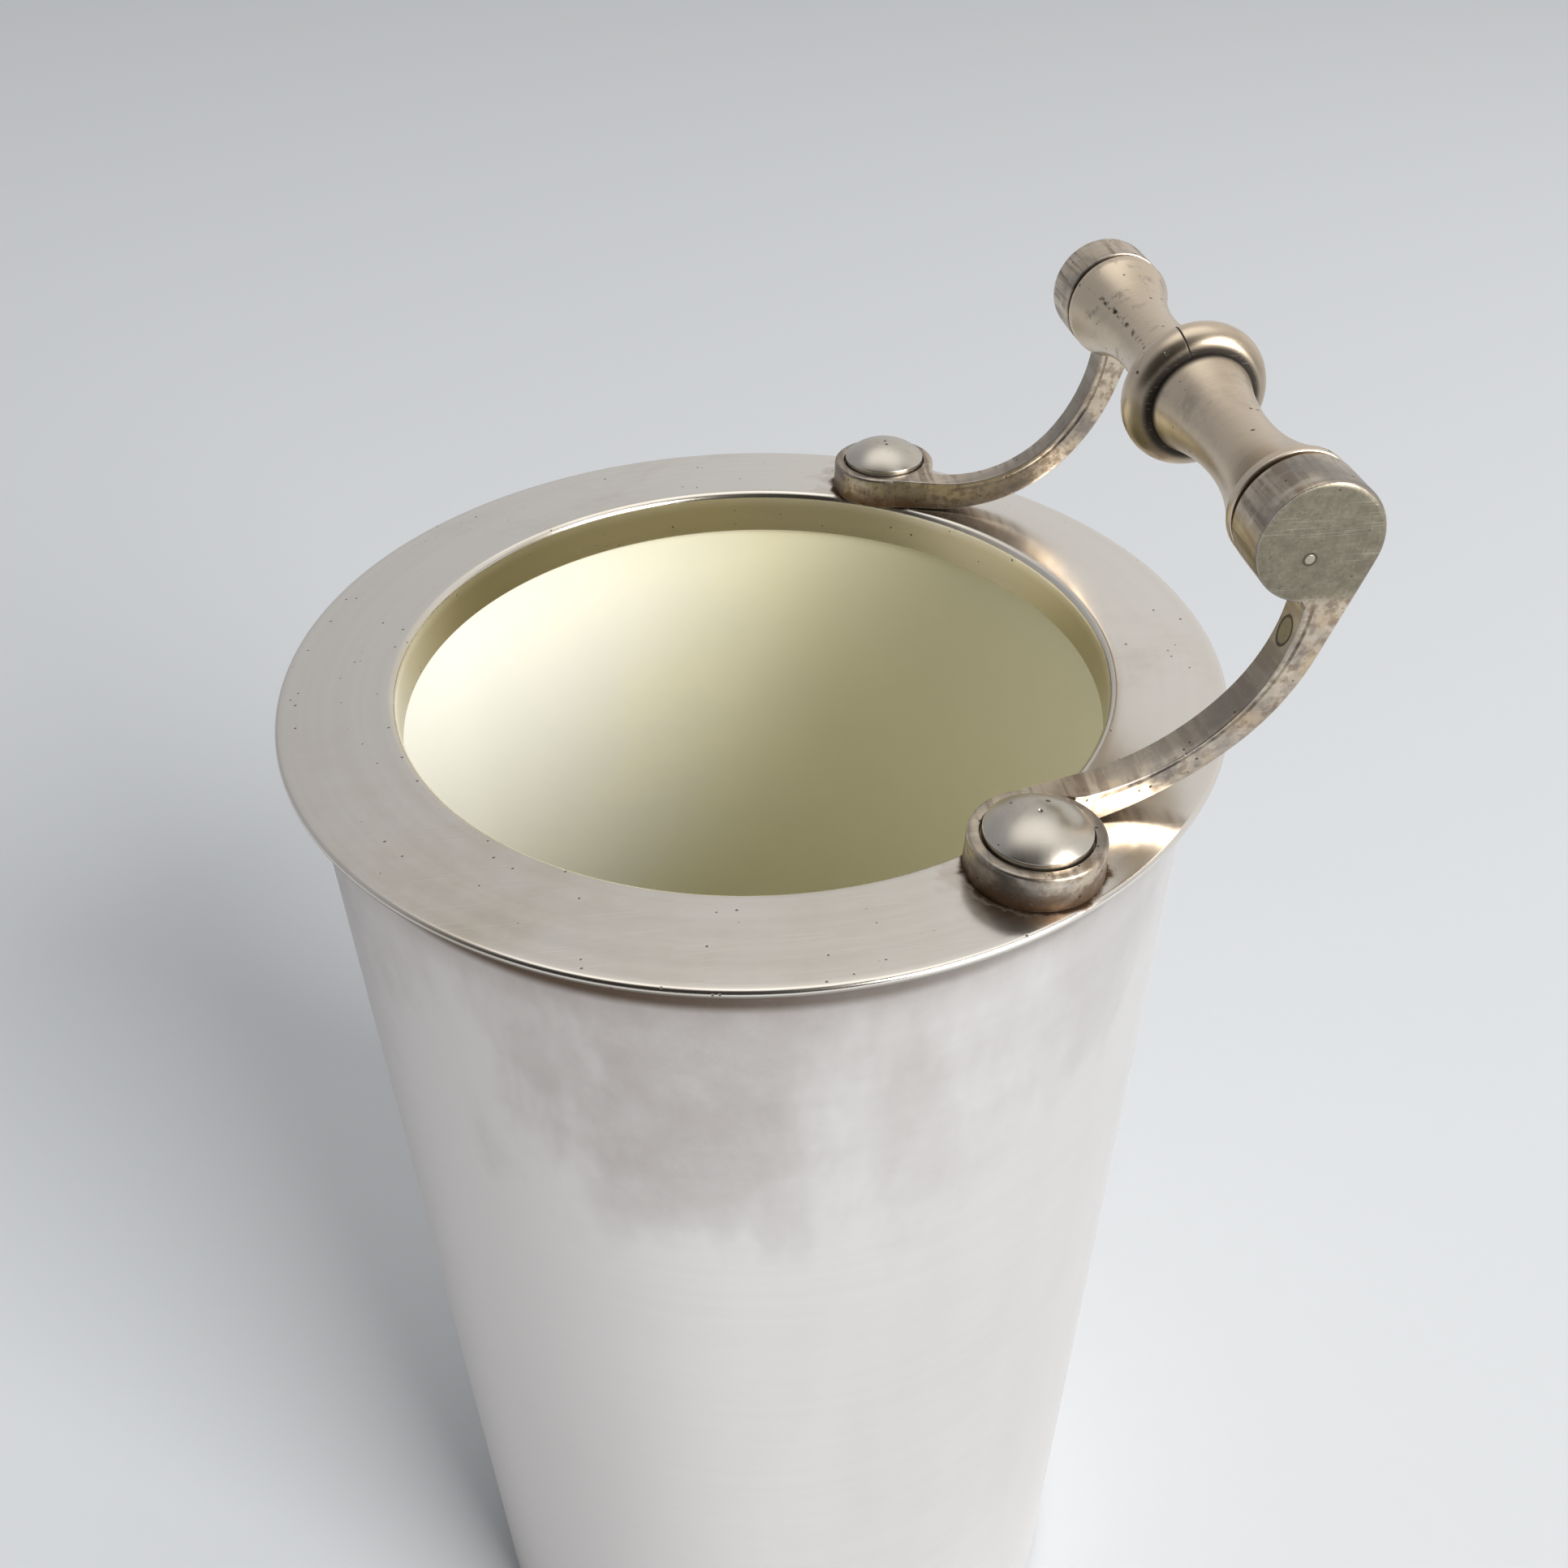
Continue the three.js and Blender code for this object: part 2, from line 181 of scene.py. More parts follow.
def welded(grids):
    """Points and faces of several grids, with coinciding points made one.

    Each grid cell is one four-sided face, and a cell with two equal corners loses one.
    """
    points, cells, offset = [], [], 0
    for grid in grids:
        rows, columns = grid.shape[:2]
        index = np.arange(rows * columns).reshape(rows, columns) + offset
        quad = np.stack([index[:-1, :-1], index[1:, :-1], index[1:, 1:], index[:-1, 1:]], -1)
        points.append(grid.reshape(-1, 3))
        cells.append(quad.reshape(-1, 4))
        offset += rows * columns
    points = np.concatenate(points)
    cells = np.concatenate(cells)
    keys = np.round(points, 4) + 0.0
    _, first, same = np.unique(keys, axis=0, return_index=True, return_inverse=True)
    cells = same.reshape(-1)[cells]
    faces = []
    for cell in cells.tolist():
        ring = [c for i, c in enumerate(cell) if c != cell[i - 1]]
        if len(set(ring)) == len(ring) and len(ring) > 2:
            faces.append(ring)
    return points[first], faces


def mark_edges(mesh):
    """Stores how sharply the surface bends at each point, from -1 in a fold to 1 on an edge.

    Along each mesh edge the bend is -(normal . step) / |step|^2, and a point takes the mean of
    its edges, counted against a bend of one per 0.8 millimetre.
    """
    count, edges = len(mesh.vertices), len(mesh.edges)
    place, normal = np.empty(count * 3), np.empty(count * 3)
    ends = np.empty(edges * 2, int)
    mesh.vertices.foreach_get("co", place)
    mesh.vertex_normals.foreach_get("vector", normal)
    mesh.edges.foreach_get("vertices", ends)
    place, normal, ends = place.reshape(-1, 3), normal.reshape(-1, 3), ends.reshape(-1, 2)
    total, share = np.zeros(count), np.zeros(count)
    for one, two in ((0, 1), (1, 0)):
        step = place[ends[:, two]] - place[ends[:, one]]
        square = np.maximum((step ** 2).sum(1), 1e-12)
        bend = -(normal[ends[:, one]] * step).sum(1) / square
        np.add.at(total, ends[:, one], bend)
        np.add.at(share, ends[:, one], 1)
    value = np.clip(total / np.maximum(share, 1) * 0.8 * MM, -1, 1).astype(np.float32)
    mesh.attributes.new("bend", "FLOAT", "POINT").data.foreach_set("value", value)


def piece(name, shells, material, slot, body, *nodes, crease=32):
    """One finished piece from closed shells, each a list of grids, standing for CAD nodes."""
    points, faces, offset = [], [], 0
    for shell in shells:
        shell_points, shell_faces = welded(shell)
        points.append(shell_points)
        faces += [[c + offset for c in face] for face in shell_faces]
        offset += len(shell_points)
    mesh = bpy.data.meshes.new(name)
    mesh.from_pydata((np.concatenate(points) * MM).tolist(), [], faces)
    work = bmesh.new()
    work.from_mesh(mesh)
    bmesh.ops.recalc_face_normals(work, faces=work.faces)
    work.to_mesh(mesh)
    work.free()
    mark_edges(mesh)
    mesh.shade_smooth()
    mesh.set_sharp_from_angle(angle=math.radians(crease))
    made = bpy.data.objects.new(name, mesh)
    bpy.context.scene.collection.objects.link(made)
    mesh.materials.append(material)
    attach(made, body)
    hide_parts(*nodes)
    return made


# ---- arm surfaces --------------------------------------------------------------------------


def hollow_side(t):
    """The arm's hollow side for t from 0 to 1: a short flat, then an arc.

    The arc turns until its height is that of the boss's lowest point.
    """
    most = math.acos(1 - (ARM_RISE - BOSS_RADIUS - EYE_THICK) / ARM_BOW)
    s = t * (ARM_FLAT + ARM_BOW * most)
    a = np.clip((s - ARM_FLAT) / ARM_BOW, 0, most)
    u = np.minimum(s, ARM_FLAT) + ARM_BOW * np.sin(a)
    z = EYE_THICK + ARM_BOW * (1 - np.cos(a))
    return np.stack([u, z], -1)


def back_side(t):
    """The arm's outer side: flat along the brim, an arc, and a straight run onto the boss.

    The arc's radius and the straight's length are the two that end on the boss's tangent.
    """
    end = np.array([
        ARM_REACH + BOSS_RADIUS * math.sin(BACK_TURN) - BACK_START,
        ARM_RISE - BOSS_RADIUS * math.cos(BACK_TURN) - BACK_LIFT,
    ])
    turns = np.array([
        [math.sin(BACK_TURN), math.cos(BACK_TURN)],
        [1 - math.cos(BACK_TURN), math.sin(BACK_TURN)],
    ])
    radius, straight = np.linalg.solve(turns, end)
    s = t * (BACK_START + radius * BACK_TURN + straight)
    a = np.clip((s - BACK_START) / radius, 0, BACK_TURN)
    more = np.maximum(s - BACK_START - radius * BACK_TURN, 0)
    u = np.minimum(s, BACK_START) + radius * np.sin(a) + more * math.cos(BACK_TURN)
    z = BACK_LIFT * np.minimum(s / BACK_START, 1)
    z = z + radius * (1 - np.cos(a)) + more * math.sin(BACK_TURN)
    return np.stack([u, z], -1)


def lean(u):
    """How far the arm has leaned in at u: full lean * (1 - (what is left of the reach)^power)."""
    full = EYE_Y - EYE_RADIUS + ARM_THICK - BOSS_OUTER
    left = 1 - np.clip(u / LEAN_REACH, 0, 1)
    return full * (1 - left ** LEAN_POWER)


def bar_grids(side, bar_steps=72, boss_steps=40, across=10, edge_steps=5):
    """The arm's bar and its round head as one closed form with rounded edges.

    Two lines run from the eye to the top of the boss, one up the hollow side and one up the
    outer side. Rungs between them make the two flat faces. The outline is drawn in by
    radius * (1 - cos a) while it moves out by radius * sin a, which rounds the edges.
    """
    t = np.linspace(0, 1, bar_steps + 1)
    j = np.linspace(0, 1, boss_steps + 1)[1:]
    left_turn = -math.pi / 2 - math.pi * j
    right_turn = BACK_TURN - math.pi / 2 + (math.pi - BACK_TURN) * j
    centre = np.array([ARM_REACH, ARM_RISE])
    left = np.vstack([
        hollow_side(t)[:-1],
        centre + BOSS_RADIUS * np.stack([np.cos(left_turn), np.sin(left_turn)], -1),
    ])
    right = np.vstack([
        back_side(t)[:-1],
        centre + BOSS_RADIUS * np.stack([np.cos(right_turn), np.sin(right_turn)], -1),
    ])
    twist = np.sin(math.pi * np.minimum(np.arange(len(left)) / bar_steps, 1))
    loop = np.vstack([left, right[-2::-1]])
    turn = np.concatenate([twist, np.zeros(len(right) - 1)])
    ahead = np.roll(loop, -1, axis=0) - loop
    behind = loop - np.roll(loop, 1, axis=0)
    ahead /= np.linalg.norm(ahead, axis=1, keepdims=True)
    behind /= np.linalg.norm(behind, axis=1, keepdims=True)
    along = ahead + behind
    along /= np.linalg.norm(along, axis=1, keepdims=True)
    inward = np.stack([along[:, 1], -along[:, 0]], -1)
    angle = np.arctan2(loop[:, 1] - ARM_RISE, loop[:, 0] - ARM_REACH)
    on_boss = np.hypot(loop[:, 1] - ARM_RISE, loop[:, 0] - ARM_REACH) < BOSS_RADIUS + 0.01
    soft = 0.32 + 0.95 * on_boss * np.clip(np.cos(angle - math.radians(52)), 0, 1) ** 2
    crisp = np.full(len(loop), 0.3)
    rows = []
    depth = [(ARM_THICK, crisp, 90), (ARM_THICK, crisp, 0), (0.0, soft, 0), (0.0, soft, 90)]
    for (wall, radius, start), (_, _, end) in ((depth[0], depth[1]), (depth[2], depth[3])):
        for degrees in np.linspace(start, end, edge_steps + 1):
            a = math.radians(degrees)
            drawn = loop + inward * (radius * (1 - math.cos(a)))[:, None]
            out = radius * (1 - math.sin(a))
            w = wall - out if wall else out
            rows.append(np.column_stack([drawn, w, turn]))
    rows = np.array(rows)
    rims = np.concatenate([rows, rows[:, :1]], axis=1)
    count = len(left)
    a = np.linspace(0, 1, across + 1)[None, :, None]
    faces = []
    for row in (rows[0], rows[-1]):
        one = row[:count]
        two = np.vstack([row[count:][::-1], row[count - 1:count]])
        rung = one[:, None] * (1 - a) + two[:, None] * a
        rung[..., 3] = one[:, None, 3] * (1 - a[..., 0])
        faces.append(rung)
    return [placed(grid, side) for grid in (rims, *faces)]


def placed(grid, side):
    """Puts arm points [u, z, w, twist] in the bucket's frame.

    u runs out from the eye, z up from the brim and w in from the outer face. Near the eye
    the bar is squeezed outwards so that its end follows the eye's ring.
    """
    u, z, w, twist = np.moveaxis(grid, -1, 0)
    inset = EYE_RADIUS - ARM_THICK + w
    start = np.sqrt(np.maximum(BAR_END_RADIUS ** 2 - inset ** 2, 0))
    u = u + start * np.clip(1 - u / ARM_FLAT, 0, 1)
    z = z - ARM_TWIST * twist * (1 - w / ARM_THICK)
    y = EYE_Y - inset - lean(u)
    return np.stack([EYE_X + u, side * y, BRIM_TOP + np.maximum(z, 0.05)], -1)


def eye_grid(side):
    """The round eye: a thick washer with a soft top edge and a recess for the domed head."""
    line = fillet([
        [0, 0.05],
        [EYE_RADIUS + 0.3, 0.05, 0.3],
        [EYE_RADIUS, EYE_THICK, 0.75],
        [RECESS_RADIUS + 0.05, EYE_THICK, 0.2],
        [RECESS_RADIUS, EYE_THICK - RECESS_DEPTH, 0.1],
        [0, EYE_THICK - RECESS_DEPTH],
    ])
    return turned(line, 128, "z", (EYE_X, side * EYE_Y, BRIM_TOP))


def boss_grid(side):
    """The inner part of the boss, a hair narrower than the arm's round head at its end."""
    radius = BOSS_RADIUS - 0.004
    line = fillet([
        [0, BOSS_INNER],
        [radius, BOSS_INNER, 0.35],
        [radius, BOSS_OUTER - BOSS_CAP, 0.2],
        [0, BOSS_OUTER - BOSS_CAP],
    ])
    line[:, 1] *= side
    return turned(line, 128, "y", (GRIP_X, 0, GRIP_Z))


# ---- other surfaces ------------------------------------------------------------------------


def shell_grid():
    """The body: an open cup with a straight wall, rounded at its foot."""
    outer, inner = SHELL_HIGH[0], SHELL_HIGH[0] - 1.0
    low, high = SHELL_LOW[2], SHELL_HIGH[2]
    walls = np.linspace(low, high, 60)[1:-1]
    line = fillet([
        [0, low],
        [outer, low, 3.0],
        *[[outer, z, 0] for z in walls if z > low + 4],
        [outer, high],
        [inner, high],
        *[[inner, z, 0] for z in walls[::-1] if z > low + 4],
        [inner, low + 1.5, 2.0],
        [0, low + 1.5],
    ])
    return turned(line, 256)


def brim_grid():
    """The brim: a flat ring with a half-round edge, a rolled lip and a hanging collar."""
    top, under = BRIM_TOP, BRIM_TOP - BRIM_THICK
    half = BRIM_THICK / 2
    a = np.radians(np.linspace(-90, 90, 15))
    edge = np.stack([BRIM_RADIUS - half + half * np.cos(a), top - half + half * np.sin(a)], -1)
    flat = np.stack([np.linspace(BRIM_RADIUS - 2, OPENING + 3.2, 18), np.full(18, top)], -1)
    line = np.vstack([
        fillet([
            [OPENING, BRIM_LOW[2], 0.2],
            [OPENING + COLLAR_WALL, BRIM_LOW[2]],
            [OPENING + COLLAR_WALL, under],
        ]),
        edge,
        flat,
        fillet([[OPENING + 3, top], [OPENING, top, 1.6], [OPENING, BRIM_LOW[2] + 0.3]], 12),
    ])
    return closed_turn(line, segments=320)


def liner_grid():
    """The liner: a slightly tapered cup with a round corner at its floor."""
    top, low = LINER_HIGH[2], LINER_LOW[2]
    outer = LINER_HIGH[0]
    line = fillet([
        [0, low],
        [outer - 2.2, low, 8.0],
        [outer, top],
        [outer - 2.0, top],
        [outer - 4.2, low + 2.5, 6.0],
        [0, low + 2.5],
    ], 10)
    return turned(line, 224)


def screw_grid(side):
    """A domed screw: shank, flat-sided head and a spherical cap with a centre mark."""
    low, high = HEAD_LOW[2], HEAD_HIGH[2]
    radius = (HEAD_HIGH[0] - HEAD_LOW[0]) / 2
    under = BRIM_TOP + EYE_THICK - RECESS_DEPTH + SCREW_SEAT
    shank = 2.5
    rim = high - DOME_RISE
    sphere = (radius ** 2 + DOME_RISE ** 2) / (2 * DOME_RISE)
    r = np.linspace(radius - 0.35, 0.75, 26)
    cap = np.stack([r, high - sphere + np.sqrt(sphere ** 2 - r ** 2)], -1)
    edge = fillet([
        [0, low],
        [shank - 0.5, low],
        [shank, low + 0.5],
        [shank, under],
        [radius, under],
        [radius, rim, 0.35],
        list(cap[0]),
    ])
    mark = np.array([[0.45, high - 0.05], [0.25, high - 0.28], [0, high - 0.33]])
    line = np.vstack([edge[:-1], cap, mark])
    return turned(line, 128, "z", (EYE_X, side * EYE_Y, 0))


def spool_grid(side):
    """One side of the grip: a waist that widens as the square of the distance from it."""
    start, end = SPOOL_LOW[1], SPOOL_HIGH[1]
    rim = 1.6
    neck, inner = 6.6, 9.7
    outer = (SPOOL_HIGH[0] - SPOOL_LOW[0]) / 2
    middle = (start + end - rim) / 2
    y = np.linspace(start, end - rim, 60)
    share = (y - middle) / (end - rim - middle)
    r = neck + (np.where(share < 0, inner, outer) - neck) * np.abs(share) ** 2
    last = fillet([[outer, end - rim], [outer, end, 0.35], [0, end]])
    line = np.vstack([[[0, start]], np.stack([r, y], -1), last[1:]])
    line[:, 1] *= side
    return turned(line, 128, "y", (GRIP_X, 0, GRIP_Z))


def ring_grid():
    """The ring between the spools: a half-round section on a straight cylinder."""
    half = (RING_HIGH[1] - RING_LOW[1]) / 2
    a = np.radians(np.linspace(-90, 90, 33))
    round_part = np.stack([RING_RADIUS - half + half * np.cos(a), half * np.sin(a)], -1)
    line = np.vstack([[[0, -half]], round_part, [[0, half]]])
    return turned(line, 160, "y", (GRIP_X, 0, GRIP_Z))


def pin_grid(side):
    """A small round plug with a soft edge, flush in the boss's outer face."""
    centre = (PIN_LOW + PIN_HIGH) / 2
    radius = (PIN_HIGH[0] - PIN_LOW[0]) / 2
    line = fillet([
        [0, PIN_LOW[1]],
        [radius, PIN_LOW[1]],
        [radius, PIN_HIGH[1] + 0.06, 0.12],
        [0, PIN_HIGH[1] + 0.06],
    ])
    line[:, 1] *= side
    return turned(line, 48, "y", (centre[0], 0, centre[2]))


def pad_grid():
    """The foot pad: a thin felt disc with a soft edge."""
    radius, thick = PAD_HIGH[0], PAD_HIGH[2]
    line = fillet([[0, 0], [radius, 0, 0.6], [radius, thick, 0.6], [0, thick]])
    return turned(line, 160)


# ---- materials -----------------------------------------------------------------------------

FLOAT, VECTOR = "NodeSocketFloat", "NodeSocketVector"
PLAIN_NOISE = 0.5  # how rough noise is where nothing finer is asked for
PIT_DEPTH = 0.03


def rgb(red, green, blue):
    return (red, green, blue, 1.0)


# Dark brown for dirt in folds, round the eyes and low on the arms, and for the painted shadow just
# under the brim.
DIRT_AND_SHADOW = rgb(0.10, 0.062, 0.036)
SOOT = rgb(0.045, 0.038, 0.032)
RUBBED = rgb(0.93, 0.91, 0.88)
BARE = rgb(0.95, 0.93, 0.9)


def put(tree, kind, inputs=None, **settings):
    """One shader node: its settings, then each input either linked from a socket or set."""
    node = tree.nodes.new(kind)
    for key, value in settings.items():
        setattr(node, key, value)
    for key, value in (inputs or {}).items():
        socket = node.inputs[key]
        if isinstance(value, bpy.types.NodeSocket):
            tree.links.new(value, socket)
        else:
            socket.default_value = value
    return node


def maths(tree, operation, *values):
    """The result of one Math node."""
    return put(tree, "ShaderNodeMath", dict(enumerate(values)), operation=operation).outputs[0]


def times(tree, *values):
    """The product of several values."""
    total = values[0]
    for value in values[1:]:
        total = maths(tree, "MULTIPLY", total, value)
    return total


def distance(tree, one, two):
    """The length of a step that is one value long and two wide."""
    return maths(tree, "SQRT", maths(tree, "ADD", times(tree, one, one), times(tree, two, two)))


def off(tree, value, middle):
    """How far a value is from a middle one, to either side."""
    return maths(tree, "ABSOLUTE", maths(tree, "SUBTRACT", value, middle))


def split(tree, place):
    """The three coordinates of a place."""
    return put(tree, "ShaderNodeSeparateXYZ", {0: place}).outputs


def vector(tree, operation, one, two):
    """The vector that one Vector Math node gives."""
    return put(tree, "ShaderNodeVectorMath", {0: one, 1: two}, operation=operation).outputs[0]


def dot(tree, one, two):
    """The dot product of two vectors."""
    node = put(tree, "ShaderNodeVectorMath", {0: one, 1: two}, operation="DOT_PRODUCT")
    return node.outputs["Value"]


def ramp(tree, value, low, high, to_low=0.0, to_high=1.0):
    """A value mapped smoothly from one range to another, and held at its ends."""
    inputs = {0: value, 1: low, 2: high, 3: to_low, 4: to_high}
    node = put(tree, "ShaderNodeMapRange", inputs, interpolation_type="SMOOTHSTEP")
    return node.outputs[0]


def band(tree, length, low, high, to_low=0.0, to_high=1.0):
    """A ramp over a length, from one number of millimetres to another."""
    return ramp(tree, length, low * MM, high * MM, to_low, to_high)


def mixed(tree, share, one, two):
    """Two values mixed by a share."""
    return put(tree, "ShaderNodeMix", {0: share, 2: one, 3: two}, data_type="FLOAT").outputs[0]


def blend(tree, share, one, two, how="MIX"):
    """Two colours mixed by a share."""
    inputs = {0: share, 6: one, 7: two}
    return put(tree, "ShaderNodeMix", inputs, data_type="RGBA", blend_type=how).outputs[2]


def noise(tree, place, scale, detail=4.0, roughness=0.55, stretch=None):
    """Noise at a place, which may first be stretched. Its scale counts waves in a metre."""
    if stretch:
        place = vector(tree, "MULTIPLY", place, stretch)
    inputs = {"Vector": place, "Scale": scale, "Detail": detail, "Roughness": roughness}
    return put(tree, "ShaderNodeTexNoise", inputs).outputs[0]


def new_group(name, inputs, outputs):
    """An empty node group with named sockets: {name: (kind, default)}."""
    group = bpy.data.node_groups.new(name, "ShaderNodeTree")
    for key, (kind, default) in inputs.items():
        socket = group.interface.new_socket(key, in_out="INPUT", socket_type=kind)
        socket.default_value = default
    for key, kind in outputs.items():
        group.interface.new_socket(key, in_out="OUTPUT", socket_type=kind)
    given = group.nodes.new("NodeGroupInput")
    made = group.nodes.new("NodeGroupOutput")
    return group, given.outputs, made.inputs


def lathe_marks_group():
    """Fine turning marks round an axis: noise that is stretched along each circle.

    Place is the point with the axis on Z. Its distance from the axis and its height count
    many times more than its direction, so the marks run round without a seam.
    """
    group, given, made = new_group(
        "lathe_marks",
        {"Place": (VECTOR, (0, 0, 0)), "Fineness": (FLOAT, 2400.0), "Wander": (FLOAT, 9.0)},
        {"Height": FLOAT, "Streaks": FLOAT},
    )
    x, y, z = split(group, given["Place"])
    out = maths(group, "ADD", distance(group, x, y), z)
    lines = put(group, "ShaderNodeCombineXYZ", {
        0: times(group, x, given["Wander"]),
        1: times(group, y, given["Wander"]),
        2: times(group, out, given["Fineness"]),
    }).outputs[0]
    broad = vector(group, "MULTIPLY", lines, (1, 1, 0.22))
    group.links.new(noise(group, lines, 1.0, 3.0, PLAIN_NOISE), made["Height"])
    group.links.new(noise(group, broad, 1.0, 3.0, PLAIN_NOISE), made["Streaks"])
    return group


def tarnish_group():
    """Soft clouds of tarnish with smaller blotches inside them."""
    group, given, made = new_group(
        "tarnish_clouds",
        {"Place": (VECTOR, (0, 0, 0)), "Scale": (FLOAT, 14.0), "Spread": (FLOAT, 0.5)},
        {"Mask": FLOAT, "Blotch": FLOAT},
    )
    cloud = put(group, "ShaderNodeTexNoise",
                {"Vector": given["Place"], "Scale": given["Scale"], "Detail": 6.0,
                 "Roughness": 0.62, "Distortion": 0.6}).outputs[0]
    near = maths(group, "SUBTRACT", 1.0, given["Spread"])
    mask = ramp(group, cloud, near, maths(group, "ADD", near, 0.3))
    small = noise(group, given["Place"], times(group, given["Scale"], 9.0), 5.0, 0.7)
    group.links.new(mask, made["Mask"])
    group.links.new(small, made["Blotch"])
    return group


def wear_group():
    """Hairline scratches in three directions and scattered dark pits of mixed sizes."""
    group, given, made = new_group(
        "scratches_and_pits",
        {"Place": (VECTOR, (0, 0, 0)), "Scale": (FLOAT, 60.0), "Pits": (FLOAT, 500.0),
         "Amount": (FLOAT, 0.5)},
        {"Scratches": FLOAT, "Pits": FLOAT},
    )
    scratches = None
    for turn, seed in ((0.4, 1.0), (1.5, 5.0), (2.5, 9.0)):
        stretched = put(group, "ShaderNodeMapping",
                        {"Vector": given["Place"], "Location": (seed, seed, 0),
                         "Rotation": (turn * 0.7, turn * 0.3, turn),
                         "Scale": (1.0, 55.0, 55.0)}).outputs[0]
        waves = noise(group, stretched, given["Scale"], 1.0, PLAIN_NOISE)
        line = ramp(group, waves, 0.68, 0.76)
        scratches = line if scratches is None else maths(group, "MAXIMUM", scratches, line)
    cells = put(group, "ShaderNodeTexVoronoi",
                {"Vector": given["Place"], "Scale": given["Pits"], "Randomness": 1.0}).outputs
    chance = put(group, "ShaderNodeSeparateColor", {0: cells["Color"]}).outputs
    patch = noise(group, given["Place"], 45.0, 3.0, PLAIN_NOISE)
    wanted = times(group, given["Amount"], ramp(group, patch, 0.35, 0.7, 0.15, 1.0))
    here = maths(group, "LESS_THAN", chance[0], wanted)
    size = ramp(group, chance[1], 0.0, 1.0, 0.08, 0.34)
    spot = ramp(group, maths(group, "DIVIDE", cells["Distance"], size), 0.5, 1.0, 1.0, 0.0)
    group.links.new(scratches, made["Scratches"])
    group.links.new(times(group, spot, here), made["Pits"])
    return group


def grime_group():
    """Brown dirt that gathers round the feet of the two eyes.

    The distance is taken across the bucket's axis from the eye's axis, for both eyes at once
    because the sign of Y is dropped. The dirt fades with that distance and is broken by noise.
    """
    group, given, made = new_group(
        "eye_grime",
        {"Place": (VECTOR, (0, 0, 0)), "Start": (FLOAT, EYE_RADIUS * MM),
         "Reach": (FLOAT, 1.6 * MM)},
        {"Mask": FLOAT},
    )
    x, y, _ = split(group, given["Place"])
    apart = distance(group, maths(group, "SUBTRACT", x, EYE_X * MM),
                     maths(group, "SUBTRACT", maths(group, "ABSOLUTE", y), EYE_Y * MM))
    past = maths(group, "DIVIDE", maths(group, "SUBTRACT", apart, given["Start"]), given["Reach"])
    waves = noise(group, given["Place"], 260.0, 5.0, PLAIN_NOISE)
    edge = maths(group, "ADD", past, ramp(group, waves, 0.3, 0.7, -0.5, 0.5))
    group.links.new(ramp(group, edge, 0.1, 1.0, 1.0, 0.0), made["Mask"])
    return group


def seam_group():
    """A thin line where the surface crosses a plane through the axis, on one side of it.

    Across is a unit vector square to the plane and Side one that lies in it.
    """
    group, given, made = new_group(
        "seam_line",
        {"Place": (VECTOR, (0, 0, 0)), "Across": (VECTOR, (1, 0, 0)), "Side": (VECTOR, (0, 1, 0)),
         "Width": (FLOAT, 0.2 * MM)},
        {"Mask": FLOAT},
    )
    aside = maths(group, "ABSOLUTE", dot(group, given["Place"], given["Across"]))
    line = ramp(group, maths(group, "DIVIDE", aside, given["Width"]), 0.4, 1.0, 1.0, 0.0)
    wanted = maths(group, "GREATER_THAN", dot(group, given["Place"], given["Side"]), 0.0)
    group.links.new(times(group, line, wanted), made["Mask"])
    return group


LATHE_MARKS = lathe_marks_group()
TARNISH = tarnish_group()
WEAR = wear_group()
GRIME = grime_group()
SEAM = seam_group()


def use(tree, group, inputs):
    """The outputs of a node group placed in a material."""
    return put(tree, "ShaderNodeGroup", inputs, node_tree=group).outputs


def new_material(name):
    """A material with its node tree, its Principled shader and its object-space place."""
    made = bpy.data.materials.new(name)
    made.use_nodes = True
    tree = made.node_tree
    shader = tree.nodes["Principled BSDF"]
    place = tree.nodes.new("ShaderNodeTexCoord").outputs["Object"]
    return made, tree, shader, place


def add_bump(tree, shader, rises):
    """Bump from [mask, height in millimetres] pairs, leaving out those with no height."""
    total = None
    for mask, rise in rises:
        if rise:
            term = times(tree, mask, rise * MM)
            total = term if total is None else maths(tree, "ADD", total, term)
    if total is not None:
        bump = put(tree, "ShaderNodeBump", {"Height": total, "Strength": 1.0, "Distance": 1.0})
        tree.links.new(bump.outputs[0], shader.inputs["Normal"])


def from_grip(tree, place):
    """The place seen from the grip's axis, turned so that the axis lies on Z."""
    x, y, z = split(tree, vector(tree, "SUBTRACT", place, (GRIP_X * MM, 0, GRIP_Z * MM)))
    return put(tree, "ShaderNodeCombineXYZ", {0: x, 1: z, 2: y}).outputs[0]


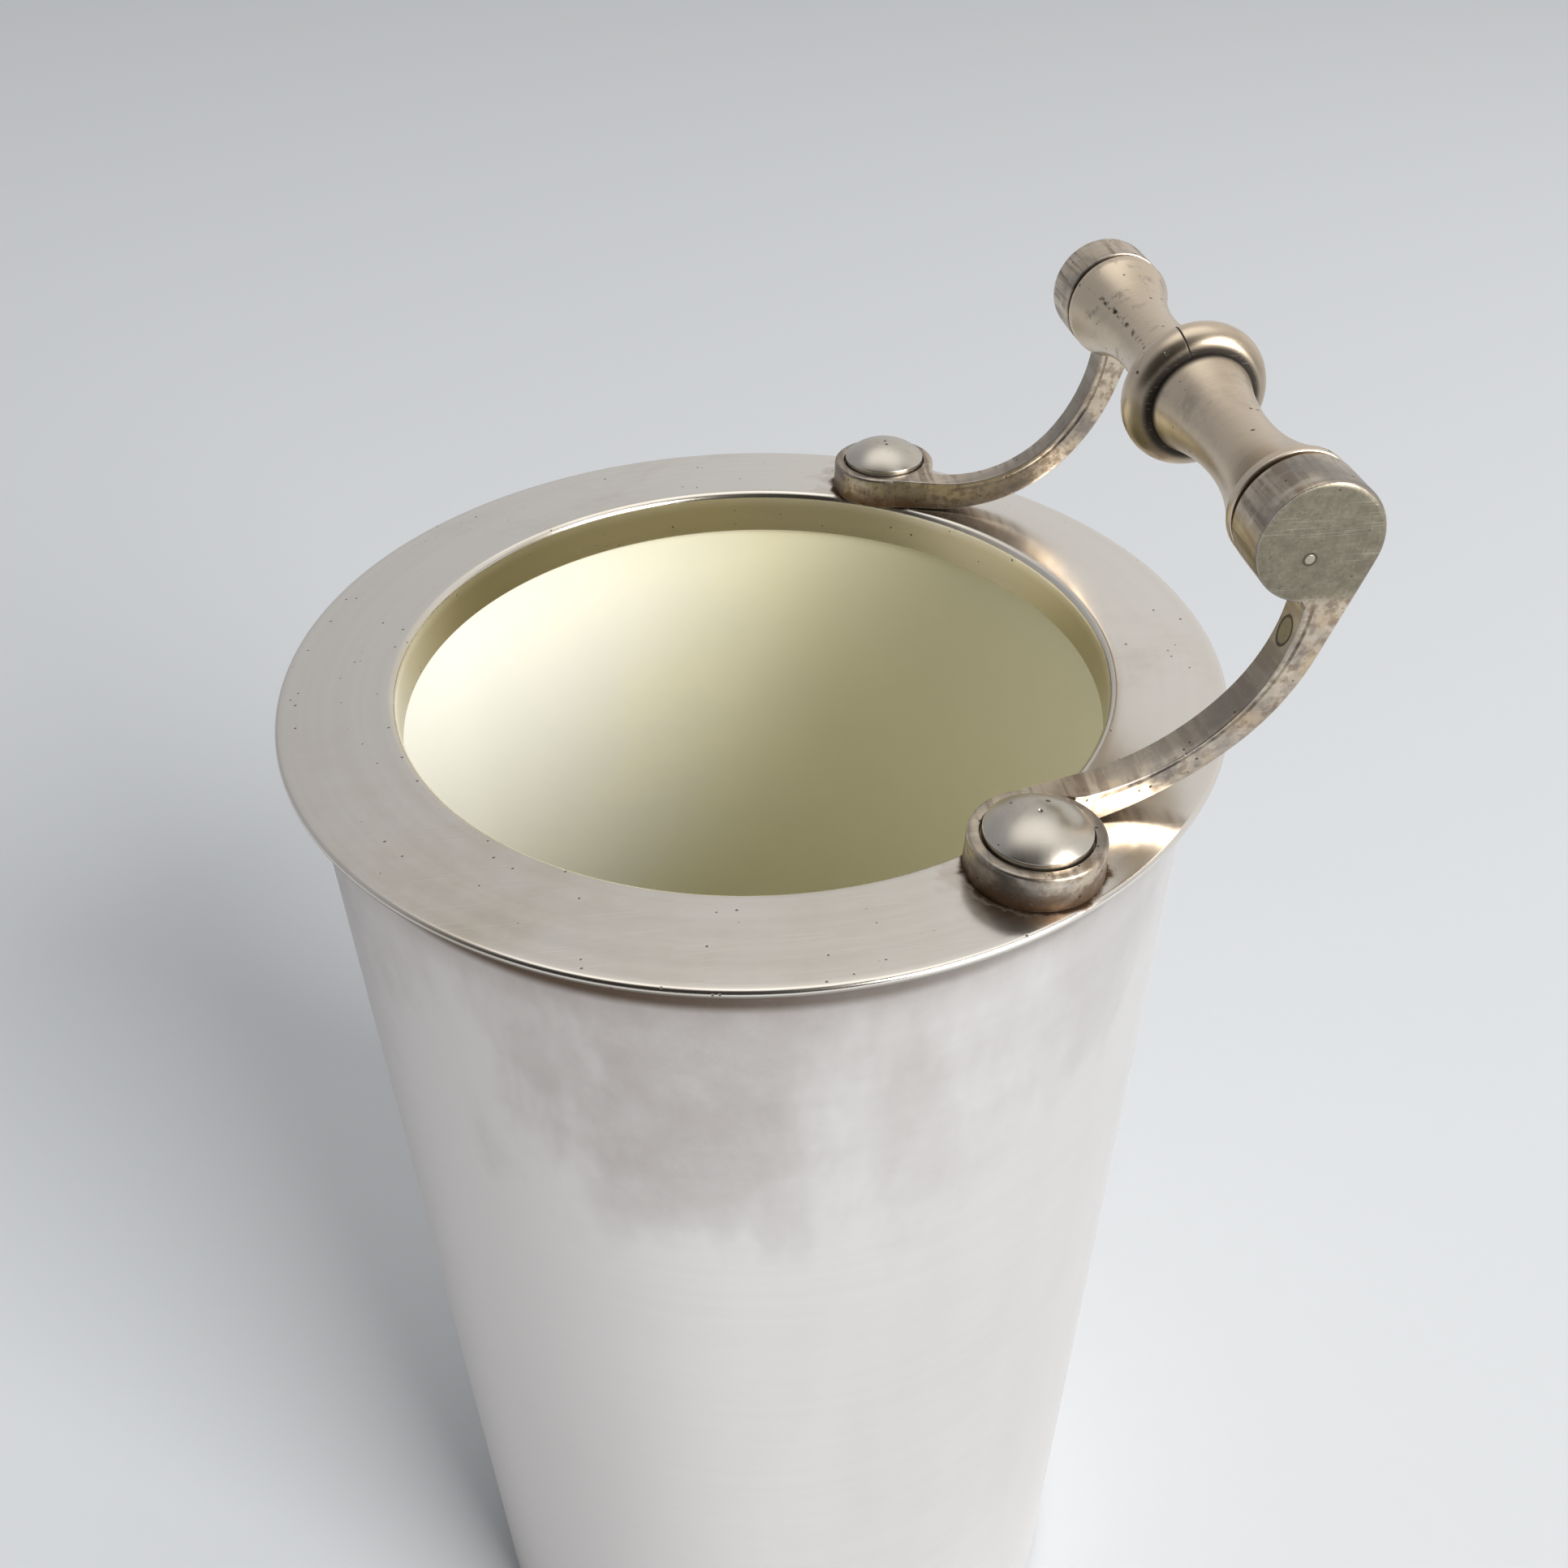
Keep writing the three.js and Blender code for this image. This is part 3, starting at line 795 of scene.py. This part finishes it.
def silver(name, clean, dull, rough, layers=None, marks=0.0, fineness=2400.0, streaks=0.03,
           cloud=14.0, spread=0.45, scratch=0.0, shine=0.10, pit=500.0, pits=0.3,
           on_grip=False, edge=0.35, fold=0.8):
    """Silver plate: turning marks, clouds of tarnish, scratches and pits over a metal base.

    Edges are rubbed brighter and folds are filled with dirt. Layers is a function of the tree
    and the place that gives [mask, colour, roughness, height] rows, each laid over what is
    under it. The turning marks run round the grip's axis on its pieces, else round Z.
    """
    made, tree, shader, place = new_material(name)
    turning = use(tree, LATHE_MARKS, {
        "Place": from_grip(tree, place) if on_grip else place, "Fineness": fineness})
    clouds = use(tree, TARNISH, {"Place": place, "Scale": cloud, "Spread": spread})
    worn = use(tree, WEAR, {"Place": place, "Pits": pit, "Amount": pits})
    bend = put(tree, "ShaderNodeAttribute", attribute_name="bend").outputs["Fac"]
    shade = times(tree, clouds["Mask"], ramp(tree, clouds["Blotch"], 0.2, 0.8, 0.45, 1.0))
    colour = blend(tree, shade, clean, dull)
    roughness = ramp(tree, shade, 0, 1, *rough)
    rises = [[turning["Height"], marks], [worn["Scratches"], -scratch]]
    for mask, tint, dullness, rise in layers(tree, place) if layers else ():
        colour = blend(tree, mask, colour, tint)
        roughness = mixed(tree, mask, roughness, dullness)
        rises.append([mask, rise])
    streak = ramp(tree, turning["Streaks"], 0.3, 0.7, 1 - streaks, 1 + streaks / 2)
    tone = put(tree, "ShaderNodeCombineXYZ", {0: streak, 1: streak, 2: streak}).outputs[0]
    colour = blend(tree, 1.0, colour, tone, "MULTIPLY")
    rubbed = times(tree, ramp(tree, bend, 0.15, 0.8, 0.0, edge),
                   ramp(tree, clouds["Blotch"], 0.35, 0.6, 0.4, 1.0))
    colour = blend(tree, rubbed, colour, RUBBED)
    colour = blend(tree, ramp(tree, bend, -0.6, -0.05, fold, 0.0), colour, DIRT_AND_SHADOW)
    roughness = maths(tree, "ADD", roughness,
                      ramp(tree, turning["Streaks"], 0.25, 0.75, -0.02, 0.02))
    if pits:
        colour = blend(tree, times(tree, worn["Pits"], 0.8), colour, SOOT)
        roughness = maths(tree, "ADD", roughness, times(tree, worn["Pits"], 0.3))
        rises.append([worn["Pits"], -PIT_DEPTH])
    colour = blend(tree, times(tree, worn["Scratches"], shine), colour, BARE)
    shader.inputs["Metallic"].default_value = 1.0
    tree.links.new(colour, shader.inputs["Base Color"])
    tree.links.new(roughness, shader.inputs["Roughness"])
    add_bump(tree, shader, rises)
    return made


def body_layers(tree, place):
    """Smears, painted shade on the left side, and tarnish that hangs from the brim in ragged
    points, darker on the left, where it is also painted shade for the dark room in front that the
    upper wall reflects.

    The top of the wall is browner, partly from grime and partly as painted shade under the brim,
    and a painted shadow of the brim darkens the band that shows just under it.
    """
    x, _, z = split(tree, place)
    down = maths(tree, "SUBTRACT", SHELL_HIGH[2] * MM, z)
    ragged = noise(tree, place, 16.0, 5.0, 0.6, (1.0, 1.0, 0.45))
    depth = maths(tree, "SUBTRACT", down, ramp(tree, ragged, 0.3, 0.7, -25 * MM, 70 * MM))
    # Tarnish that hangs from the brim in ragged points. It is also painted shade: it darkens the
    # upper wall for the dark room in front that the wall reflects.
    hanging = band(tree, depth, -30, 35, 1.0, 0.0)
    mottle = ramp(tree, noise(tree, place, 60.0, 6.0, 0.7), 0.3, 0.7, 0.7, 1.0)
    # Stronger on the left: painted shade for the shaded floor that this side reflects.
    left = band(tree, x, -50, 60, 1.0, 0.42)
    # Browner top of the wall: partly grime and partly painted shade under the brim's overhang.
    under = band(tree, down, 0, 16, 0.8, 0.0)
    # Painted shadow: the brim's shadow on the wall, a dark band just below the overhang.
    brim_shadow = band(tree, down, 6.2, 8.8, 1.0, 0.0)
    smear = ramp(tree, noise(tree, place, 9.0, 4.0, 0.6, (1.0, 1.0, 0.25)), 0.42, 0.72, 0.0, 0.55)
    return [
        [times(tree, smear, 0.6), rgb(0.68, 0.63, 0.60), 0.34, 0],
        # Painted shade: the left of the wall is darker, for the shaded floor it reflects.
        [band(tree, x, -88, -5, 0.85, 0.0), rgb(0.52, 0.48, 0.462), 0.32, 0],
        # Hanging tarnish, partly painted shade on the upper left of the wall.
        [times(tree, hanging, mottle, left, 0.8), rgb(0.48, 0.428, 0.405), 0.38, 0],
        # Partly grime and partly painted shade, at the top of the wall under the brim.
        [times(tree, under, mottle), rgb(0.33, 0.28, 0.24), 0.42, 0],
        # Painted shadow of the brim, stronger on the left.
        [times(tree, brim_shadow, band(tree, x, -40, 50, 0.95, 0.3)), DIRT_AND_SHADOW, 0.42, 0],
    ]


def brim_layers(tree, place):
    """A browner front, painted shade on the lower half of the edge and under it, a yellow lip
    and collar, and dirt round the eyes.
    """
    x, y, z = split(tree, place)
    grime = use(tree, GRIME, {"Place": place})["Mask"]
    halo = use(tree, GRIME, {"Place": place, "Reach": 6 * MM})["Mask"]
    front = band(tree, y, -95, 20, 0.7, 0.0)
    left = band(tree, x, -60, 60, 1.0, 0.15)
    cloud = ramp(tree, noise(tree, place, 30.0, 5.0, 0.65), 0.35, 0.7, 0.3, 1.0)
    out = distance(tree, x, y)
    lip = band(tree, out, OPENING, OPENING + 2.2, 0.75, 0.0)
    rim = band(tree, out, BRIM_RADIUS - 8, BRIM_RADIUS - 7)
    # Below the brim's widest line: with rim and shaded, this masks the painted shade on the lower
    # edge.
    below = band(tree, z, BRIM_TOP - 1.1, BRIM_TOP - 0.7, 1.0, 0.0)
    low = band(tree, z, BRIM_TOP - 4, BRIM_TOP - 0.8, 1.0, 0.0)
    top = band(tree, z, BRIM_TOP - 1.2, BRIM_TOP - 0.3)
    shaded = band(tree, x, -50, 70, 0.95, 0.1)
    return [
        [times(tree, front, left, cloud), rgb(0.55, 0.465, 0.345), 0.24, 0],
        # Painted shade: the lower half of the edge and the underside are darkened, most on the
        # left, for the dark they reflect from in front.
        [times(tree, below, rim, shaded), rgb(0.09, 0.07, 0.05), 0.35, 0],
        [times(tree, lip, cloud), rgb(0.62, 0.56, 0.43), 0.24, 0],
        [low, rgb(0.55, 0.49, 0.36), 0.24, 0],
        [times(tree, halo, 0.45, cloud, top), rgb(0.40, 0.30, 0.21), 0.35, 0],
        [times(tree, grime, top), DIRT_AND_SHADOW, 0.6, 0.02],
    ]


def dent_masks(tree, place):
    """The floor and the wall of the oval dent."""
    from_dent = vector(tree, "SUBTRACT", place, tuple(v * MM for v in DENT))
    along = maths(tree, "DIVIDE", dot(tree, from_dent, DENT_ALONG), DENT_HALF_LENGTH * MM)
    across = maths(tree, "DIVIDE", split(tree, from_dent)[1], DENT_HALF_WIDTH * MM)
    through = maths(tree, "ABSOLUTE", dot(tree, from_dent, DENT_THROUGH))
    near = band(tree, through, 1.2, 1.8, 1.0, 0.0)
    oval = distance(tree, along, across)
    inside = ramp(tree, oval, 0.8, 1.0, 1.0, 0.0)
    wall = ramp(tree, off(tree, oval, 0.92), 0.05, 0.16, 1.0, 0.0)
    return times(tree, inside, near), times(tree, wall, near)


def boss_masks(tree, place):
    """A boss's end face, and the dark ring round the plug in it."""
    x, y, z = split(tree, place)
    end = band(tree, maths(tree, "ABSOLUTE", y), BOSS_OUTER - 0.25, BOSS_OUTER - 0.1)
    height = band(tree, z, GRIP_Z - BOSS_RADIUS - 1, GRIP_Z - BOSS_RADIUS + 2)
    from_pin = distance(tree, maths(tree, "SUBTRACT", x, PIN_X * MM),
                        maths(tree, "SUBTRACT", z, PIN_Z * MM))
    ring = band(tree, off(tree, from_pin, PIN_RING * MM), 0.1, 0.3, 1.0, 0.0)
    return times(tree, end, height), times(tree, ring, end)


def arm_layers(tree, place):
    """Brushing on the arm's faces, stains, a groove, rough boss ends, and dirt low down."""
    x, y, z = split(tree, place)
    patch = ramp(tree, noise(tree, place, 75.0, 4.0, 0.6), 0.45, 0.65)
    brush = noise(tree, place, 520.0, 3.0, 0.6, (1.0, 0.06, 1.0))
    cross = noise(tree, place, 420.0, 3.0, 0.6, (0.07, 1.0, 0.5))
    mid = times(tree, band(tree, x, EYE_X + 12, EYE_X + 17),
                band(tree, z, GRIP_Z - 14, GRIP_Z - 10, 1.0, 0.0))
    tan = times(tree, ramp(tree, noise(tree, place, 110.0, 4.0, 0.6), 0.48, 0.62),
                band(tree, maths(tree, "ABSOLUTE", y), BOSS_OUTER - 1, BOSS_OUTER))
    bow = distance(tree, maths(tree, "SUBTRACT", x, (EYE_X + ARM_FLAT) * MM),
                   maths(tree, "SUBTRACT", z, (BRIM_TOP + EYE_THICK + ARM_BOW) * MM))
    hollow = times(tree, band(tree, bow, ARM_BOW + 0.3, ARM_BOW + 0.9, 1.0, 0.0), mid)
    groove = band(tree, off(tree, bow, (ARM_BOW + GROOVE_INSET) * MM), 0.15, 0.45, 1.0, 0.0)
    groove = times(tree, groove, mid, ramp(tree, patch, 0, 1, 0.5, 1.0))
    face, ring = boss_masks(tree, place)
    grain = noise(tree, place, 520.0, 9.0, 0.8)
    speck = ramp(tree, noise(tree, place, 700.0, 3.0, 0.6), 0.62, 0.72)
    dent, wall = dent_masks(tree, place)
    low = times(tree, band(tree, z, BRIM_TOP, BRIM_TOP + 5.5, 1.0, 0.0),
                band(tree, x, EYE_X + 4, EYE_X + 26, 1.0, 0.2))
    grime = use(tree, GRIME, {"Place": place, "Start": 11.6 * MM, "Reach": 4 * MM})["Mask"]
    return [
        [times(tree, ramp(tree, brush, 0.42, 0.62), 0.9), rgb(0.27, 0.205, 0.15), 0.42, 0.012],
        [times(tree, ramp(tree, cross, 0.5, 0.72), 0.5), rgb(0.78, 0.70, 0.60), 0.28, 0.004],
        [times(tree, patch, 0.75), rgb(0.24, 0.22, 0.205), 0.34, 0],
        [times(tree, hollow, 0.7), rgb(0.33, 0.285, 0.235), 0.38, 0],
        [times(tree, tan, mid, 0.6), rgb(0.60, 0.46, 0.32), 0.3, 0],
        [times(tree, groove, 0.9), SOOT, 0.55, -0.12],
        [times(tree, face, ramp(tree, grain, 0.2, 0.6, 0.75, 1.0)),
         rgb(0.25, 0.225, 0.168), 0.44, 0],
        [times(tree, face, ramp(tree, grain, 0.35, 0.65)), rgb(0.18, 0.163, 0.122), 0.5, 0.01],
        [times(tree, face, speck, 0.8), rgb(0.13, 0.12, 0.10), 0.6, -0.02],
        [times(tree, ring, 0.6), SOOT, 0.5, -0.04],
        [times(tree, dent, 0.75), rgb(0.24, 0.205, 0.13), 0.4, -0.3],
        [times(tree, wall, 0.7), SOOT, 0.5, 0],
        [times(tree, low, ramp(tree, patch, 0, 1, 0.85, 1.0)), DIRT_AND_SHADOW, 0.5, 0.01],
        [times(tree, grime, low, 0.6), rgb(0.16, 0.09, 0.045), 0.65, 0],
    ]


def grip_layers(tree, place):
    """Blotches, a darker ring with painted shade on its sides for the dark it reflects, black
    crevices beside it, and seams on the ring and a spool.
    """
    own = from_grip(tree, place)
    along = split(tree, own)[2]
    width = maths(tree, "ABSOLUTE", along)
    half = (RING_HIGH[1] - RING_LOW[1]) / 2
    on_ring = band(tree, width, half - 0.1, half + 0.1, 1.0, 0.0)
    # Painted shade: the ring's sides are darkened for the dark the ring reflects from the front
    # left.
    shaded_flank = times(tree, band(tree, width, half - 3, half - 0.5), on_ring)
    beside = times(tree, band(tree, width, half - 0.7, half - 0.1),
                   band(tree, width, half + 0.4, half + 2.0, 1.0, 0.0))
    ring_seam = use(tree, SEAM, {"Place": own, "Across": (0.93, 0.36, 0.0),
                                 "Side": (-0.36, 0.93, 0.0), "Width": 0.22 * MM})["Mask"]
    spool_seam = use(tree, SEAM, {"Place": own, "Across": (0.60, 0.80, 0.0),
                                  "Side": (-0.80, 0.60, 0.0), "Width": 0.7 * MM})["Mask"]
    broken = ramp(tree, noise(tree, own, 420.0, 4.0, 0.7), 0.47, 0.62)
    rear = band(tree, along, half + 1, half + 3)
    blotch = ramp(tree, noise(tree, own, 120.0, 5.0, 0.65), 0.56, 0.70)
    blotch = times(tree, blotch, band(tree, along, -10, 20, 0.35, 0.85))
    return [
        [blotch, rgb(0.27, 0.235, 0.20), 0.4, 0],
        # Painted shade on the ring's sides.
        [times(tree, shaded_flank, 0.7), rgb(0.26, 0.22, 0.165), 0.3, 0],
        [beside, SOOT, 0.6, 0],
        [times(tree, ring_seam, on_ring), SOOT, 0.5, -0.08],
        [times(tree, spool_seam, broken, rear), SOOT, 0.55, -0.06],
    ]


def plastic_with_painted_light(name, pale, yellow):
    """Smooth cream plastic with faint clouds and painted light: paler on the -X side, where the
    window light falls, and yellower towards +X, where only light bounced inside the cup reaches.
    """
    made, tree, shader, place = new_material(name)
    clouds = ramp(tree, noise(tree, place, 26.0), 0.3, 0.7, -12 * MM, 12 * MM)
    across = maths(tree, "ADD", split(tree, place)[0], clouds)
    # Painted light: paler where the window light falls on the -X wall, yellower on the shaded +X
    # wall.
    tree.links.new(blend(tree, band(tree, across, -70, 30), pale, yellow),
                   shader.inputs["Base Color"])
    tree.links.new(band(tree, across, -70, 70, 0.33, 0.39), shader.inputs["Roughness"])
    return made


def plain(name, colour, rough, metal=0.0, grain=600.0, depth=0.02, shift=0.12):
    """A simple finish with a fine grain in its colour, roughness and height."""
    made, tree, shader, place = new_material(name)
    fine = noise(tree, place, grain)
    darker = rgb(*[c * (1 - shift) for c in colour[:3]])
    tree.links.new(blend(tree, fine, darker, colour), shader.inputs["Base Color"])
    tree.links.new(ramp(tree, fine, 0.3, 0.7, rough - 0.05, rough + 0.05),
                   shader.inputs["Roughness"])
    shader.inputs["Metallic"].default_value = metal
    add_bump(tree, shader, [[fine, depth]])
    return made


body_silver = silver("body_silver", rgb(0.92, 0.89, 0.865), rgb(0.84, 0.80, 0.77), (0.31, 0.36),
                     body_layers, fineness=1700.0, streaks=0.012, cloud=11.0, pits=0.0,
                     shine=0.03)
brim_silver = silver("brim_silver", rgb(0.81, 0.77, 0.715), rgb(0.64, 0.58, 0.51), (0.18, 0.24),
                     brim_layers, marks=0.0008, fineness=2600.0, streaks=0.015, cloud=17.0,
                     pit=900.0, pits=0.10, scratch=0.002)
arm_silver = silver("arm_silver", rgb(0.575, 0.485, 0.375), rgb(0.31, 0.25, 0.19), (0.31, 0.42),
                    arm_layers, cloud=48.0, spread=0.5, scratch=0.006, pit=900.0, pits=0.4,
                    edge=0.3)
dome_silver = silver("dome_silver", rgb(0.57, 0.53, 0.465), rgb(0.37, 0.325, 0.265), (0.30, 0.38),
                     marks=0.0006, fineness=5000.0, cloud=70.0, spread=0.5, scratch=0.003,
                     pits=0.2)
grip_silver = silver("grip_silver", rgb(0.67, 0.56, 0.43), rgb(0.38, 0.305, 0.225), (0.30, 0.37),
                     grip_layers, marks=0.0008, fineness=4200.0, streaks=0.04, cloud=42.0,
                     spread=0.5, scratch=0.004, pit=650.0, pits=0.3, on_grip=True)
liner_plastic = plastic_with_painted_light("liner_plastic", rgb(0.82, 0.82, 0.76), rgb(0.965, 0.92, 0.68))
steel = plain("hardware_steel", rgb(0.55, 0.55, 0.56), 0.42, 1.0)
plug_metal = plain("plug_metal", rgb(0.40, 0.38, 0.31), 0.45, 1.0)
grimy_steel = plain("grimy_steel", rgb(0.07, 0.06, 0.05), 0.6, 1.0, shift=0.4)
foam = plain("insulation_foam", rgb(0.82, 0.82, 0.8), 0.9, grain=900.0, depth=0.2)
felt = plain("pad_felt", rgb(0.03, 0.028, 0.026), 0.95, grain=1500.0, depth=0.3, shift=0.5)

# ---- pieces --------------------------------------------------------------------------------

piece("body_wall", [[shell_grid()]], body_silver, "silver_plate", "bucket", "outer_shell")
piece("brim_plate", [[brim_grid()]], brim_silver, "silver_plate", "bucket", "brim_ring")
piece("liner_cup", [[liner_grid()]], liner_plastic, "cream_plastic", "bucket", "inner_liner")
piece("foot_pad", [[pad_grid()]], felt, "felt", "bucket", "base_pad")
piece("grip_ring", [[ring_grid()]], grip_silver, "silver_plate", "grip", "centre_ring")
for end, side in SIDES.items():
    arm_shells = [bar_grids(side), [eye_grid(side)], [boss_grid(side)]]
    piece(f"{end}_arm_form", arm_shells, arm_silver, "aged_silver", "bucket", f"{end}_arm")
    piece(f"{end}_dome", [[screw_grid(side)]], dome_silver, "silver_plate", "bucket",
          f"{end}_screw")
    piece(f"{end}_spool_form", [[spool_grid(side)]], grip_silver, "silver_plate", "grip",
          f"{end}_spool")
    piece(f"{end}_plug", [[pin_grid(side)]], plug_metal, "steel", "bucket", f"{end}_pin")

hidden = {"axle_rod": steel, "insulation_sleeve": foam, "insulation_disc": foam}
for end in SIDES:
    for part in ("spacer", "washer", "nut", "backing_plate"):
        hidden[f"{end}_{part}"] = grimy_steel if part == "spacer" else steel
for name, material in hidden.items():
    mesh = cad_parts[name].data
    mesh.materials.clear()
    mesh.materials.append(material)

# ---- floor, light and view -----------------------------------------------------------------


def floor():
    """A wide flat floor with a faint grain."""
    mesh = bpy.data.meshes.new("floor")
    half = 6.0
    mesh.from_pydata([(-half, -half, 0), (half, -half, 0), (half, half, 0), (-half, half, 0)],
                     [], [(0, 1, 2, 3)])
    made = bpy.data.objects.new("floor", mesh)
    bpy.context.scene.collection.objects.link(made)
    paper = plain("pale_paper", rgb(0.60, 0.622, 0.65), 0.9, grain=90.0, depth=0.0, shift=0.02)
    mesh.materials.append(paper)


def soft_light(name, place, aim, size, power, colour):
    """A rectangular soft light at a place, turned to face a point."""
    data = bpy.data.lights.new(name, "AREA")
    data.shape = "RECTANGLE"
    data.size, data.size_y = size
    data.energy = power
    data.color = colour
    made = bpy.data.objects.new(name, data)
    made.location = place
    bpy.context.scene.collection.objects.link(made)
    away = np.array(place, float) - np.array(aim, float)
    away /= np.linalg.norm(away)
    across = np.cross((0, 0, 1), away)
    across /= np.linalg.norm(across)
    up = np.cross(away, across)
    made.matrix_world = Matrix(
        [[across[i], up[i], away[i], place[i]] for i in range(3)] + [[0, 0, 0, 1]])


def studio():
    """A pale room: brighter to the right and overhead, dark in front on the left."""
    world = bpy.data.worlds.new("studio")
    world.use_nodes = True
    tree = world.node_tree
    back = tree.nodes["Background"]
    way = tree.nodes.new("ShaderNodeTexCoord").outputs["Generated"]

    def towards(x, y, z, low, high):
        return ramp(tree, dot(tree, way, (x, y, z)), low, high)

    base = blend(tree, towards(1, 0, 0, -0.8, 0.8), rgb(0.40, 0.408, 0.432), rgb(0.80, 0.79, 0.775))
    base = blend(tree, towards(0, -1, 0, -0.05, 0.45), base, rgb(0.30, 0.30, 0.31))
    base = blend(tree, towards(0, 0.12, 1, 0.78, 0.98), base, rgb(1.4, 1.39, 1.36))
    base = blend(tree, towards(-0.30, -0.87, 0.40, 0.35, 0.85), base, rgb(0.03, 0.026, 0.024))
    tree.links.new(base, back.inputs["Color"])
    back.inputs["Strength"].default_value = 1.0
    bpy.context.scene.world = world


def view():
    """The camera, high on the front side, with its place and axes in the bucket's frame."""
    data = bpy.data.cameras.new("view")
    data.sensor_width = 36.0
    data.lens = 33.368
    made = bpy.data.objects.new("view", data)
    right = (0.99194, -0.12643, -0.00807)
    up = (0.08439, 0.61192, 0.78640)
    away = (-0.09448, -0.78075, 0.61766)
    place = (-24.118 * MM, -249.928 * MM, (BRIM_TOP + 163.284) * MM)
    made.matrix_world = Matrix(
        [[right[i], up[i], away[i], place[i]] for i in range(3)] + [[0, 0, 0, 1]])
    bpy.context.scene.collection.objects.link(made)
    bpy.context.scene.camera = made


floor()
studio()
view()
soft_light("window", (2.9, -3.3, 2.6), (0, 0, 0.3), (2.6, 3.2), 350.0, (1.0, 0.985, 0.96))
bpy.context.scene.view_settings.view_transform = "Standard"
